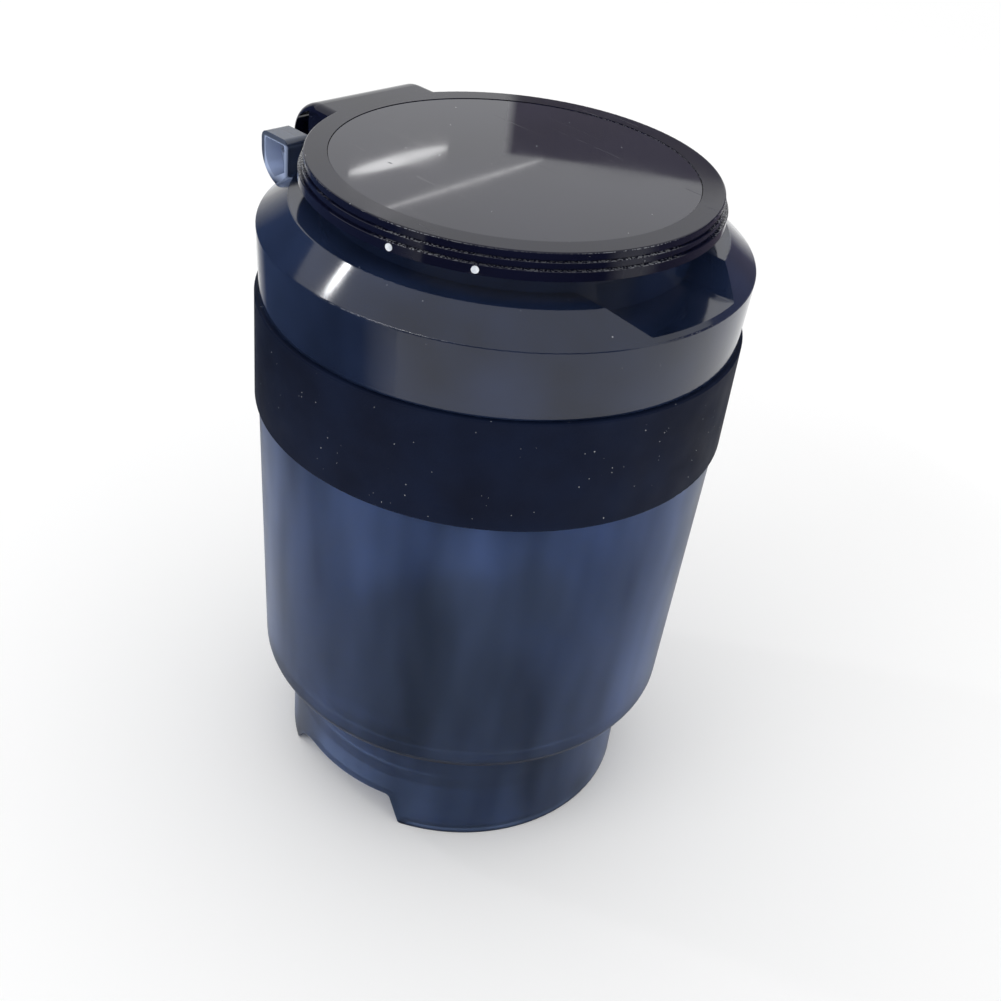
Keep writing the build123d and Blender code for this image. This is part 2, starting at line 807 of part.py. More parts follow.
# Strainer basket over the outlet, with two ears for the float's pin
ear_start = arm_half_width + ear_gap
with BuildPart() as strainer:
    with BuildSketch(Plane.XZ):
        with BuildLine():
            Polyline(
                (bush_flange_radius + strainer_flange_gap, floor_top),
                (strainer_flange_radius, floor_top),
                (strainer_flange_radius, floor_top + strainer_flange_thickness),
                (strainer_radius, floor_top + strainer_flange_thickness),
                (strainer_radius, floor_top + strainer_height),
                (0, floor_top + strainer_height),
                (0, floor_top + strainer_height - strainer_wall),
                (strainer_radius - strainer_wall, floor_top + strainer_height - strainer_wall),
                (strainer_radius - strainer_wall, floor_top + strainer_flange_thickness),
                (bush_flange_radius + strainer_flange_gap, floor_top + strainer_flange_thickness),
                close=True,
            )
        make_face()
    revolve(axis=Axis.Z)
    with BuildSketch(Plane.XY.offset(floor_top + strainer_slot_rise)):
        with PolarLocations(strainer_radius, strainer_slot_count, 180 / strainer_slot_count):
            Rectangle(2 * strainer_wall + strainer_slot_width, strainer_slot_width)
    extrude(amount=strainer_slot_height, mode=Mode.SUBTRACT)
    for start in (ear_start, -ear_start - ear_thickness):
        with BuildSketch(Plane.XZ.offset(start)):
            with Locations((float_pivot_reach, float_pivot_height)):
                Circle(ear_round)
            with Locations((strainer_radius - strainer_wall, float_pivot_height - ear_round)):
                Rectangle(
                    float_pivot_reach - strainer_radius + strainer_wall,
                    2 * ear_round,
                    align=(Align.MIN, Align.MIN),
                )
            with Locations((float_pivot_reach, float_pivot_height)):
                Circle(float_pin_radius + float_pin_fit, mode=Mode.SUBTRACT)
        extrude(amount=ear_thickness)
strainer.part.label = "strainer"
export_step(strainer.part, "parts/strainer.step")

# Float's pin, along Y through both ears
float_pin_half = ear_start + ear_thickness + edge_round
with BuildPart() as float_pin:
    with BuildSketch(Plane.XZ.offset(-float_pin_half)):
        with Locations((float_pivot_reach, float_pivot_height)):
            Circle(float_pin_radius)
    extrude(amount=2 * float_pin_half)
float_pin.part.label = "float_pin"
export_step(float_pin.part, "parts/float_pin.step")

# Float's arm, which turns on the pin and ends in a pad under the float
float_start = float_pivot_reach + float_arm_length
float_end = foot_inner_radius - float_wall_gap
float_length = float_end - float_start
pad_top = float_pivot_height - float_height / 2
with BuildPart() as float_arm:
    with BuildSketch(Plane.XZ.offset(-arm_half_width)):
        with Locations((float_pivot_reach, float_pivot_height)):
            Circle(arm_hub_radius)
        with BuildLine():
            Polyline(
                (float_pivot_reach, float_pivot_height + arm_hub_radius),
                (float_start - edge_round, pad_top),
                (float_end, pad_top),
                (float_end, pad_top - arm_thickness),
                (float_start - arm_hub_radius, pad_top - arm_thickness),
                (float_pivot_reach, float_pivot_height - arm_hub_radius),
                close=True,
            )
        make_face()
        with Locations((float_pivot_reach, float_pivot_height)):
            Circle(float_pin_radius + float_running_fit, mode=Mode.SUBTRACT)
    extrude(amount=2 * arm_half_width)
float_arm.part.label = "float_arm"
export_step(float_arm.part, "parts/float_arm.step")

# Float: a closed foam block on the arm's pad, with a pocket for the magnet
with BuildPart() as float_body:
    with BuildSketch(Plane.XY.offset(pad_top)):
        with Locations((float_start + float_length / 2, 0)):
            RectangleRounded(float_length, 2 * float_half_width, float_round)
    extrude(amount=float_height)
    fillet(float_body.faces().sort_by(Axis.Z)[-1].edges(), float_round / 2)
    with Locations((float_start + float_length / 2, 0, pad_top)):
        Cylinder(
            magnet_radius,
            magnet_thickness,
            align=(Align.CENTER, Align.CENTER, Align.MIN),
            mode=Mode.SUBTRACT,
        )
float_body.part.label = "float_body"
export_step(float_body.part, "parts/float_body.step")

# Magnet in the float's pocket
with BuildPart() as float_magnet:
    with BuildSketch(Plane.XY.offset(pad_top)):
        with Locations((float_start + float_length / 2, 0)):
            Circle(magnet_radius - magnet_fit)
    extrude(amount=magnet_thickness - magnet_fit)
float_magnet.part.label = "float_magnet"
export_step(float_magnet.part, "parts/float_magnet.step")
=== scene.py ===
from math import cos, pi, radians, sin

import bmesh
import bpy
from mathutils import Matrix, Vector


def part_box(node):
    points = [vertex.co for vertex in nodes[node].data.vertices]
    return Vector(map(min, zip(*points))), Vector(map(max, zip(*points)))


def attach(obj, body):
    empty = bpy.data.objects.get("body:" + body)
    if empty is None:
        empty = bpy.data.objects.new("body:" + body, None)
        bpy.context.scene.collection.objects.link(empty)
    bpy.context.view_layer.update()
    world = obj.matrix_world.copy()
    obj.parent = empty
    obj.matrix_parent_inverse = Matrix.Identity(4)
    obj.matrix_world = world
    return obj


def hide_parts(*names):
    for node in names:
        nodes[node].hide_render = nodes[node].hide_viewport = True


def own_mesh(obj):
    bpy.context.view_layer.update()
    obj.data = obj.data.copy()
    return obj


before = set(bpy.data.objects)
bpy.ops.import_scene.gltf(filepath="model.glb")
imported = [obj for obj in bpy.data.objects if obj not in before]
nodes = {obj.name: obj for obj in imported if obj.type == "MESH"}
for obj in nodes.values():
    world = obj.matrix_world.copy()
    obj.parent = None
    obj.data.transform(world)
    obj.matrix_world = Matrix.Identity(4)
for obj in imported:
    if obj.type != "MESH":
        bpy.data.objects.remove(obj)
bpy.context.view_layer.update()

# Bucket: the see-through body of the tank, moulded in one piece from navy tinted plastic.
# Its satin skin scatters what lies behind it, so the parts inside show only as dim shapes.
# The flow of the melt leaves broad upright clouds in the tint.


def start_group(name, inputs, outputs):
    """An empty shader group whose sockets are named, and its two ends."""
    group = bpy.data.node_groups.new(name, "ShaderNodeTree")
    for label, kind, default in inputs:
        socket = group.interface.new_socket(label, in_out="INPUT", socket_type=kind)
        socket.default_value = default
    for label, kind in outputs:
        group.interface.new_socket(label, in_out="OUTPUT", socket_type=kind)
    return group, group.nodes.new("NodeGroupInput"), group.nodes.new("NodeGroupOutput")


def put(tree, kind, inputs=None, **settings):
    """One shader node, with its settings, and each input a number, a colour or a wire."""
    node = tree.nodes.new(kind)
    for name, value in settings.items():
        setattr(node, name, value)
    for name, value in (inputs or {}).items():
        if isinstance(value, bpy.types.NodeSocket):
            tree.links.new(value, node.inputs[name])
        else:
            node.inputs[name].default_value = value
    return node


def sum_of(tree, operation, first, second):
    """Two numbers or wires put together by one sum."""
    return put(tree, "ShaderNodeMath", {0: first, 1: second}, operation=operation).outputs[0]


def ramp(tree, value, span, first=0.0, last=1.0):
    """A wire that goes from its first to its last value while another value crosses a span."""
    inputs = {0: value, 1: span[0], 2: span[1], 3: first, 4: last}
    return put(tree, "ShaderNodeMapRange", inputs).outputs[0]


def blend(tree, share, first, second):
    """One colour that passes into a second one by a share."""
    inputs = {0: share, 6: first, 7: second}
    return put(tree, "ShaderNodeMix", inputs, data_type="RGBA").outputs[2]


def place_on(tree, scale=(1, 1, 1), turn=(0, 0, 0)):
    """The piece's own coordinates, stretched and turned for a pattern."""
    spot = put(tree, "ShaderNodeTexCoord").outputs["Object"]
    inputs = {"Vector": spot, "Scale": scale, "Rotation": turn}
    return put(tree, "ShaderNodeMapping", inputs).outputs["Vector"]


# Clouds in the colour of a moulding, between a deep and a pale tint
melt_clouds, entry, result = start_group(
    "melt_clouds",
    [
        ("Place", "NodeSocketVector", (0, 0, 0)),
        ("Scale", "NodeSocketFloat", 30.0),
        ("Deep", "NodeSocketColor", (0, 0, 0, 1)),
        ("Pale", "NodeSocketColor", (1, 1, 1, 1)),
    ],
    [("Color", "NodeSocketColor")],
)
cloud = put(
    melt_clouds,
    "ShaderNodeTexNoise",
    {"Vector": entry.outputs["Place"], "Scale": entry.outputs["Scale"], "Detail": 2.0},
)
cloud_share = ramp(melt_clouds, cloud.outputs["Fac"], (0.3, 0.7))
cloud_tint = blend(melt_clouds, cloud_share, entry.outputs["Deep"], entry.outputs["Pale"])
melt_clouds.links.new(cloud_tint, result.inputs["Color"])

# Haze that handling leaves on a smooth skin: patches that are a little duller than the rest
handling_haze, entry, result = start_group(
    "handling_haze",
    [
        ("Place", "NodeSocketVector", (0, 0, 0)),
        ("Scale", "NodeSocketFloat", 60.0),
        ("Bright", "NodeSocketFloat", 0.05),
        ("Dull", "NodeSocketFloat", 0.2),
    ],
    [("Roughness", "NodeSocketFloat")],
)
patch = put(
    handling_haze,
    "ShaderNodeTexNoise",
    {"Vector": entry.outputs["Place"], "Scale": entry.outputs["Scale"], "Detail": 2.0},
)
patch_haze = ramp(
    handling_haze,
    patch.outputs["Fac"],
    (0.2, 0.8),
    first=entry.outputs["Bright"],
    last=entry.outputs["Dull"],
)
handling_haze.links.new(patch_haze, result.inputs["Roughness"])


def new_finish(name, specular):
    """A finish with its shader, ready for its colour and roughness."""
    finish = bpy.data.materials.new(name)
    finish.use_nodes = True
    shader = finish.node_tree.nodes["Principled BSDF"]
    shader.inputs["Specular IOR Level"].default_value = specular
    return finish, finish.node_tree, shader


def clouded(tree, scale, deep, pale, stretch=(1, 1, 1)):
    """The clouded colour of a moulding, as a wire."""
    place = place_on(tree, scale=stretch)
    inputs = {"Place": place, "Scale": scale, "Deep": (*deep, 1), "Pale": (*pale, 1)}
    return put(tree, "ShaderNodeGroup", inputs, node_tree=melt_clouds).outputs["Color"]


def haze_over(tree, shader, scale, bright, dull, stretch=(1, 1, 1)):
    """Patchy roughness, led to the shader and given back as a wire."""
    place = place_on(tree, scale=stretch)
    inputs = {"Place": place, "Scale": scale, "Bright": bright, "Dull": dull}
    haze = put(tree, "ShaderNodeGroup", inputs, node_tree=handling_haze).outputs["Roughness"]
    tree.links.new(haze, shader.inputs["Roughness"])
    return haze


def dress(piece, finish):
    """Puts one finish on the whole of a piece."""
    piece.data.materials.clear()
    piece.data.materials.append(finish)


tank_navy, tree, shader = new_finish("tank_navy", 0.5)
tank_color = clouded(
    tree,
    scale=54.0,
    deep=(0.055, 0.09, 0.175),
    pale=(0.21, 0.3, 0.53),
    stretch=(1, 1, 0.25),
)
# The lower corner, where wall and floor meet, and the foot's rim are thick,
# so the tint is deepest there
thick_tint = (0.015, 0.024, 0.055, 1)
corner_radii = (0.0525, 0.054)
corner_heights = (0.036, 0.0378)
rim_heights = (0.0006, 0.0014)
flat_place = place_on(tree, scale=(1, 1, 0))
from_axis = put(tree, "ShaderNodeVectorMath", {0: flat_place}, operation="LENGTH").outputs["Value"]
height = put(tree, "ShaderNodeSeparateXYZ", {0: place_on(tree)}).outputs["Z"]
corner_out = ramp(tree, from_axis, corner_radii)
corner_rise = ramp(tree, height, corner_heights, first=1.0, last=0.0)
corner_share = sum_of(tree, "MULTIPLY", corner_out, corner_rise)
rim_share = ramp(tree, height, rim_heights, first=1.0, last=0.0)
thick_share = sum_of(tree, "MAXIMUM", corner_share, rim_share)
tree.links.new(blend(tree, thick_share, tank_color, thick_tint), shader.inputs["Base Color"])
haze_over(tree, shader, scale=45.0, bright=0.29, dull=0.38)
shader.inputs["Transmission Weight"].default_value = 0.85
shader.inputs["IOR"].default_value = 1.17
dress(nodes["tank_body"], tank_navy)

# Outlet bush, its nut and its gasket: a spigot clamped in the hole in the floor.
# Bush and nut are grey nylon with a fine matt skin, and the gasket between them is black rubber.
nylon_grey, tree, shader = new_finish("nylon_grey", 0.45)
nylon_color = clouded(tree, scale=160.0, deep=(0.085, 0.09, 0.105), pale=(0.12, 0.125, 0.14))
tree.links.new(nylon_color, shader.inputs["Base Color"])
haze_over(tree, shader, scale=220.0, bright=0.34, dull=0.5)
for name in ("outlet_bush", "outlet_nut"):
    dress(nodes[name], nylon_grey)

seal_black, tree, shader = new_finish("seal_black", 0.3)
seal_color = clouded(tree, scale=240.0, deep=(0.008, 0.008, 0.009), pale=(0.017, 0.017, 0.019))
tree.links.new(seal_color, shader.inputs["Base Color"])
haze_over(tree, shader, scale=400.0, bright=0.5, dull=0.72)
dress(nodes["outlet_gasket"], seal_black)

# Outlet valve: a white stem with a rubber seal under its head, held shut by a steel spring.
# The spring is coiled from bright wire and rests on a pressed clip near the stem's lower end.
stem_white, tree, shader = new_finish("stem_white", 0.5)
stem_color = clouded(tree, scale=180.0, deep=(0.62, 0.63, 0.63), pale=(0.74, 0.75, 0.74))
tree.links.new(stem_color, shader.inputs["Base Color"])
haze_over(tree, shader, scale=260.0, bright=0.28, dull=0.42)
dress(nodes["outlet_stem"], stem_white)
dress(nodes["outlet_seal"], seal_black)

wire_steel, tree, shader = new_finish("wire_steel", 0.5)
shader.inputs["Metallic"].default_value = 1.0
steel_color = clouded(tree, scale=700.0, deep=(0.42, 0.42, 0.43), pale=(0.58, 0.58, 0.57))
tree.links.new(steel_color, shader.inputs["Base Color"])
haze_over(tree, shader, scale=300.0, bright=0.2, dull=0.42, stretch=(1, 6, 6))
dress(nodes["outlet_clip"], wire_steel)

wire_radius = 0.0004
wire_sides = 14
coil_turns = 4
steps_per_turn = 40
spring_low, spring_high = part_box("outlet_spring")
spring_length = spring_high[2] - spring_low[2]
coil_radius = spring_high[0] - wire_radius
coil_rise = spring_length - 2 * wire_radius
coil_steps = coil_turns * steps_per_turn
coil = bmesh.new()
section = bmesh.ops.create_circle(coil, segments=wire_sides, radius=wire_radius)["verts"]
upright = Matrix.Rotation(pi / 2, 3, "X")
bmesh.ops.rotate(coil, verts=section, cent=(0, 0, 0), matrix=upright)
bmesh.ops.translate(coil, verts=section, vec=(coil_radius, 0, spring_low[2] + wire_radius))
bmesh.ops.spin(
    coil,
    geom=coil.verts[:] + coil.edges[:],
    axis=(0, 0, 1),
    cent=(0, 0, 0),
    dvec=(0, 0, coil_rise / coil_steps),
    angle=2 * pi * coil_turns,
    steps=coil_steps,
)
bmesh.ops.holes_fill(coil, edges=coil.edges[:], sides=0)
bmesh.ops.recalc_face_normals(coil, faces=coil.faces[:])
for face in coil.faces:
    face.smooth = len(face.verts) == 4
spring_mesh = bpy.data.meshes.new("valve_spring")
coil.to_mesh(spring_mesh)
coil.free()
valve_spring = bpy.data.objects.new("valve_spring", spring_mesh)
bpy.context.collection.objects.link(valve_spring)
dress(valve_spring, wire_steel)
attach(valve_spring, "tank")
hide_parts("outlet_spring")
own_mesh(valve_spring)

# Strainer: a slotted grey basket over the outlet, with the two ears that the float swings on.
# It is moulded in one piece and stands on its flange on the tank's floor.
strainer_grey, tree, shader = new_finish("strainer_grey", 0.4)
strainer_color = clouded(tree, scale=90.0, deep=(0.05, 0.055, 0.07), pale=(0.075, 0.08, 0.1))
tree.links.new(strainer_color, shader.inputs["Base Color"])
haze_over(tree, shader, scale=150.0, bright=0.32, dull=0.5)
dress(nodes["strainer"], strainer_grey)

# Float: a foam block on a swinging arm, with a magnet in it that tells the water level.
# The foam has closed cells, which show as fine pits, and the arm turns on a steel pin.
float_foam, tree, shader = new_finish("float_foam", 0.25)
foam_color = clouded(tree, scale=130.0, deep=(0.028, 0.03, 0.036), pale=(0.05, 0.052, 0.06))
tree.links.new(foam_color, shader.inputs["Base Color"])
shader.inputs["Roughness"].default_value = 0.85
cells = put(tree, "ShaderNodeTexVoronoi", {"Vector": place_on(tree), "Scale": 1500.0})
pits = put(
    tree,
    "ShaderNodeBump",
    {"Height": cells.outputs["Distance"], "Strength": 0.6, "Distance": 0.0002},
)
tree.links.new(pits.outputs["Normal"], shader.inputs["Normal"])
dress(nodes["float_body"], float_foam)
dress(nodes["float_arm"], strainer_grey)
dress(nodes["float_pin"], wire_steel)

magnet_plate, tree, shader = new_finish("magnet_plate", 0.5)
shader.inputs["Metallic"].default_value = 1.0
magnet_color = clouded(tree, scale=500.0, deep=(0.5, 0.49, 0.46), pale=(0.66, 0.65, 0.62))
tree.links.new(magnet_color, shader.inputs["Base Color"])
haze_over(tree, shader, scale=350.0, bright=0.15, dull=0.35)
dress(nodes["float_magnet"], magnet_plate)

# Grip band: a wide rubber sleeve, stretched over its seat round the top of the bucket.
# The rubber is nearly black, matt and finely grained, and holds specks of pale dust.
dust_specks, entry, result = start_group(
    "dust_specks",
    [
        ("Place", "NodeSocketVector", (0, 0, 0)),
        ("Scale", "NodeSocketFloat", 300.0),
        ("Share", "NodeSocketFloat", 0.4),
        ("Size", "NodeSocketFloat", 0.06),
    ],
    [("Mask", "NodeSocketFloat")],
)
speck = put(
    dust_specks,
    "ShaderNodeTexVoronoi",
    {"Vector": entry.outputs["Place"], "Scale": entry.outputs["Scale"]},
)
lot = put(dust_specks, "ShaderNodeSeparateColor", {0: speck.outputs["Color"]})
reach = sum_of(dust_specks, "MULTIPLY", lot.outputs["Red"], entry.outputs["Size"])
inside = sum_of(dust_specks, "LESS_THAN", speck.outputs["Distance"], reach)
chosen = sum_of(dust_specks, "LESS_THAN", lot.outputs["Green"], entry.outputs["Share"])
shown = sum_of(dust_specks, "MULTIPLY", inside, chosen)
faint = sum_of(dust_specks, "MULTIPLY", shown, lot.outputs["Blue"])
dust_specks.links.new(faint, result.inputs["Mask"])


def specks_on(tree, scale, share, size):
    """Where specks of dust lie, as a wire."""
    inputs = {"Place": place_on(tree), "Scale": scale, "Share": share, "Size": size}
    return put(tree, "ShaderNodeGroup", inputs, node_tree=dust_specks).outputs["Mask"]


def dust_and_glints_over(tree, color, mask):
    """A colour with pale marks laid over it: real dust specks, and painted glints on edges."""
    dust_and_glint_color = (0.55, 0.57, 0.6, 1)
    return blend(tree, mask, color, dust_and_glint_color)


band_rubber, tree, shader = new_finish("band_rubber", 0.09)
band_color = clouded(tree, scale=70.0, deep=(0.0025, 0.0055, 0.019), pale=(0.004, 0.009, 0.029))
band_dust = specks_on(tree, scale=1000.0, share=0.12, size=0.16)
tree.links.new(dust_and_glints_over(tree, band_color, band_dust), shader.inputs["Base Color"])
haze_over(tree, shader, scale=120.0, bright=0.52, dull=0.66)
grain = put(
    tree, "ShaderNodeTexNoise", {"Vector": place_on(tree), "Scale": 3200.0, "Detail": 2.0}
)
skin = put(
    tree,
    "ShaderNodeBump",
    {"Height": grain.outputs["Fac"], "Strength": 0.25, "Distance": 0.0001},
)
tree.links.new(skin.outputs["Normal"], shader.inputs["Normal"])
dress(nodes["grip_band"], band_rubber)

# Collar: shoulder, neck, finger notch and hinge lugs in one glossy moulding of smoke tinted
# plastic. It plugs into the bucket on a tongue, and a round rubber seal in the tongue's groove
# keeps it tight.

# Painted glints along a sharp edge at one height: highlights drawn as runs of short pale dashes
# with clean gaps
edge_glints, entry, result = start_group(
    "edge_glints",
    [("Place", "NodeSocketVector", (0, 0, 0)), ("Level", "NodeSocketFloat", 0.1)],
    [("Mask", "NodeSocketFloat")],
)
edge_reach = (0.00003, 0.00009)
edge_strength = 0.38
edge_height = put(edge_glints, "ShaderNodeSeparateXYZ", {0: entry.outputs["Place"]}).outputs["Z"]
above = sum_of(edge_glints, "SUBTRACT", edge_height, entry.outputs["Level"])
off_edge = sum_of(edge_glints, "ABSOLUTE", above, 0.0)
on_edge = ramp(edge_glints, off_edge, edge_reach, first=edge_strength, last=0.0)
dashes = put(
    edge_glints,
    "ShaderNodeTexNoise",
    {"Vector": entry.outputs["Place"], "Scale": 2000.0, "Detail": 0.0},
)
runs = put(
    edge_glints,
    "ShaderNodeTexNoise",
    {"Vector": entry.outputs["Place"], "Scale": 32.0, "Detail": 1.0},
)
dash = ramp(edge_glints, dashes.outputs["Fac"], (0.48, 0.56))
run = ramp(edge_glints, runs.outputs["Fac"], (0.48, 0.62))
dashed = sum_of(edge_glints, "MULTIPLY", dash, run)
edge_glints.links.new(sum_of(edge_glints, "MULTIPLY", on_edge, dashed), result.inputs["Mask"])


def edge_glints_on(tree, level):
    """Where painted glints lie along the edge at one height, as a wire."""
    inputs = {"Place": place_on(tree), "Level": level}
    return put(tree, "ShaderNodeGroup", inputs, node_tree=edge_glints).outputs["Mask"]


collar_smoke, tree, shader = new_finish("collar_smoke", 0.55)
collar_color = clouded(tree, scale=40.0, deep=(0.007, 0.012, 0.03), pale=(0.02, 0.034, 0.085))
# The lugs are thin shells, so the tint is paler in them, partly from the thin plastic and partly
# as painted light;
# the pale blue on the wall in each hollow is painted light, sky seen through the thin wall painted
# into its colour
lug_tint_and_light = (0.09, 0.11, 0.16, 1)
lug_sides = (0.0233, 0.0236)
lug_backs = (0.0464, 0.048)
lug_heights = (0.1606, 0.1635)
painted_light_tint = (0.5, 0.6, 0.85, 1)
painted_light_sides = (0.0256, 0.026)
painted_light_backs = (0.0556, 0.0562)
painted_light_heights = (0.1711, 0.1715)
collar_rim_level = 0.1604
place = put(tree, "ShaderNodeSeparateXYZ", {0: place_on(tree)})
aside = sum_of(tree, "ABSOLUTE", place.outputs["X"], 0.0)
lug_side = ramp(tree, aside, lug_sides)
lug_back = ramp(tree, place.outputs["Y"], lug_backs)
lug_rise = ramp(tree, place.outputs["Z"], lug_heights)
lug_area = sum_of(tree, "MULTIPLY", lug_side, lug_back)
lug_share = sum_of(tree, "MULTIPLY", lug_area, lug_rise)
painted_light_side = ramp(tree, aside, painted_light_sides)
painted_light_back = ramp(tree, place.outputs["Y"], painted_light_backs, first=1.0, last=0.0)
painted_light_rise = ramp(tree, place.outputs["Z"], painted_light_heights, first=1.0, last=0.0)
painted_light_area = sum_of(tree, "MULTIPLY", painted_light_side, painted_light_back)
painted_light_share = sum_of(tree, "MULTIPLY", sum_of(tree, "MULTIPLY", painted_light_area, painted_light_rise), lug_share)
# Painted light: the lugs are made paler, and painted sky light is laid on the wall in each hollow
thin_and_lit_color = blend(tree, lug_share, collar_color, lug_tint_and_light)
collar_color_with_painted_light = blend(tree, painted_light_share, thin_and_lit_color, painted_light_tint)
collar_specks = specks_on(tree, scale=700.0, share=0.03, size=0.14)
# Painted highlight: pale glint dashes along the rim's edge, laid over the real dust specks
rim_glints = edge_glints_on(tree, collar_rim_level)
collar_dust_and_glints = sum_of(tree, "MAXIMUM", collar_specks, rim_glints)
tree.links.new(dust_and_glints_over(tree, collar_color_with_painted_light, collar_dust_and_glints), shader.inputs["Base Color"])
haze_over(tree, shader, scale=60.0, bright=0.08, dull=0.13)
shader.inputs["Transmission Weight"].default_value = 0.3
dress(nodes["collar"], collar_smoke)
dress(nodes["collar_seal"], seal_black)

# Hinge pin: a ground steel rod that the lid's knuckles turn on.
# It is pressed into the collar's two lugs, which hold it by its ends.
dress(nodes["hinge_pin"], wire_steel)

# Lid frame: a near black, polished moulding with a ridged side and a hinge hood at the back.
# Wiping has left fine hairlines on it, a few specks of dust lie on it, and painted glints run
# along the ridges.
hairlines, entry, result = start_group(
    "hairlines",
    [
        ("Place", "NodeSocketVector", (0, 0, 0)),
        ("Scale", "NodeSocketFloat", 900.0),
        ("Share", "NodeSocketFloat", 0.3),
    ],
    [("Mask", "NodeSocketFloat")],
)
wipe_angles = (25, 80, 140)
line_stretch = (1, 0.015, 0.2)
strokes = 0.0
for angle in wipe_angles:
    line_turn = (0, 0, radians(angle))
    line_place = put(
        hairlines,
        "ShaderNodeMapping",
        {"Vector": entry.outputs["Place"], "Rotation": line_turn, "Scale": line_stretch},
    )
    line = put(
        hairlines,
        "ShaderNodeTexNoise",
        {"Vector": line_place.outputs[0], "Scale": entry.outputs["Scale"], "Detail": 1.0},
    )
    stroke = ramp(hairlines, line.outputs["Fac"], (0.72, 0.78))
    strokes = sum_of(hairlines, "MAXIMUM", stroke, strokes)
where = put(hairlines, "ShaderNodeTexNoise", {"Vector": entry.outputs["Place"], "Scale": 55.0})
wiped_below = sum_of(hairlines, "ADD", entry.outputs["Share"], 0.2)
wiped = sum_of(hairlines, "LESS_THAN", where.outputs["Fac"], wiped_below)
hairlines.links.new(sum_of(hairlines, "MULTIPLY", strokes, wiped), result.inputs["Mask"])


def scratch(tree, shader, haze, scale, share, depth):
    """Hairlines that dull a hazy skin a little more, led to the shader."""
    inputs = {"Place": place_on(tree), "Scale": scale, "Share": share}
    lines = put(tree, "ShaderNodeGroup", inputs, node_tree=hairlines).outputs["Mask"]
    worn = sum_of(tree, "ADD", haze, sum_of(tree, "MULTIPLY", lines, depth))
    tree.links.new(worn, shader.inputs["Roughness"])


ridge_levels = (0.1739, 0.1756, 0.1774)
lid_black, tree, shader = new_finish("lid_black", 0.27)
lid_color = clouded(tree, scale=50.0, deep=(0.003, 0.0035, 0.012), pale=(0.005, 0.006, 0.019))
lid_dust_and_glints = specks_on(tree, scale=800.0, share=0.05, size=0.16)
# Painted highlights: pale glint dashes along the three ridges, laid over the real dust specks
for level in ridge_levels:
    lid_dust_and_glints = sum_of(tree, "MAXIMUM", lid_dust_and_glints, edge_glints_on(tree, level))
tree.links.new(dust_and_glints_over(tree, lid_color, lid_dust_and_glints), shader.inputs["Base Color"])
lid_haze = haze_over(tree, shader, scale=80.0, bright=0.05, dull=0.1)
scratch(tree, shader, lid_haze, scale=900.0, share=0.3, depth=0.25)
dress(nodes["lid_frame"], lid_black)

# Window: a dark polished disc, bonded into the recess in the top of the lid.
# Its mirror finish shows every hairline, and a few specks of dust lie on it.
window_dark, tree, shader = new_finish("window_dark", 0.5)
window_color = clouded(tree, scale=28.0, deep=(0.006, 0.007, 0.02), pale=(0.01, 0.011, 0.028))
window_dust = specks_on(tree, scale=800.0, share=0.035, size=0.14)
tree.links.new(dust_and_glints_over(tree, window_color, window_dust), shader.inputs["Base Color"])
window_haze = haze_over(tree, shader, scale=65.0, bright=0.02, dull=0.05)
scratch(tree, shader, window_haze, scale=800.0, share=0.32, depth=0.1)
dress(nodes["lid_window"], window_dark)

# Index dots: two small white dots in pits in the lid's side.
# Their white is matt and a little uneven.
dot_white_finish, tree, shader = new_finish("dot_white_finish", 0.4)
dot_color = clouded(tree, scale=900.0, deep=(0.62, 0.66, 0.72), pale=(0.86, 0.89, 0.93))
tree.links.new(dot_color, shader.inputs["Base Color"])
shader.inputs["Roughness"].default_value = 0.55
dot_grain = put(tree, "ShaderNodeTexNoise", {"Vector": place_on(tree), "Scale": 1800.0})
dot_grain_bump = put(
    tree,
    "ShaderNodeBump",
    {"Height": dot_grain.outputs["Fac"], "Strength": 0.4, "Distance": 0.0002},
)
tree.links.new(dot_grain_bump.outputs["Normal"], shader.inputs["Normal"])
dress(nodes["index_dots"], dot_white_finish)

# Liner: the lid's inner plate, a smoke grey moulding that four screws hold under the frame.
# A flat rubber gasket lies under its flange, and a rubber vent flap sits in its middle.
liner_smoke, tree, shader = new_finish("liner_smoke", 0.45)
liner_color = clouded(tree, scale=45.0, deep=(0.03, 0.035, 0.05), pale=(0.045, 0.052, 0.075))
tree.links.new(liner_color, shader.inputs["Base Color"])
haze_over(tree, shader, scale=100.0, bright=0.22, dull=0.34)
dress(nodes["lid_liner"], liner_smoke)
for name in ("lid_gasket", "vent_flap"):
    dress(nodes[name], seal_black)
dress(nodes["liner_screws"], wire_steel)

# Studio: a plain matt white floor under an even white sky.
# The tank stands free on the floor, and only its own soft shadow falls on it.
bpy.context.scene.view_settings.view_transform = "Standard"
floor_size = 4.0
floor_mesh = bpy.data.meshes.new("floor")
shape = bmesh.new()
bmesh.ops.create_grid(shape, x_segments=1, y_segments=1, size=floor_size)
shape.to_mesh(floor_mesh)
shape.free()
floor = bpy.data.objects.new("floor", floor_mesh)
bpy.context.collection.objects.link(floor)
floor_white, tree, shader = new_finish("floor_white", 0.0)
shader.inputs["Base Color"].default_value = (0.97, 0.97, 0.97, 1)
shader.inputs["Roughness"].default_value = 1.0
dress(floor, floor_white)

sky = bpy.data.worlds.new("sky")
sky.use_nodes = True
sky_light = sky.node_tree.nodes["Background"]
sky_light.inputs["Strength"].default_value = 1.0
sky_light.inputs["Color"].default_value = (1, 1, 1, 1)
bpy.context.scene.world = sky

# Lamps: two ceiling tubes behind the tank that the lid mirrors, and two soft lamps at the left.
# They are placed by the angles at which the camera's side sees them, and all face the lid.
view_turn = -48.0
lid_level = 0.1776


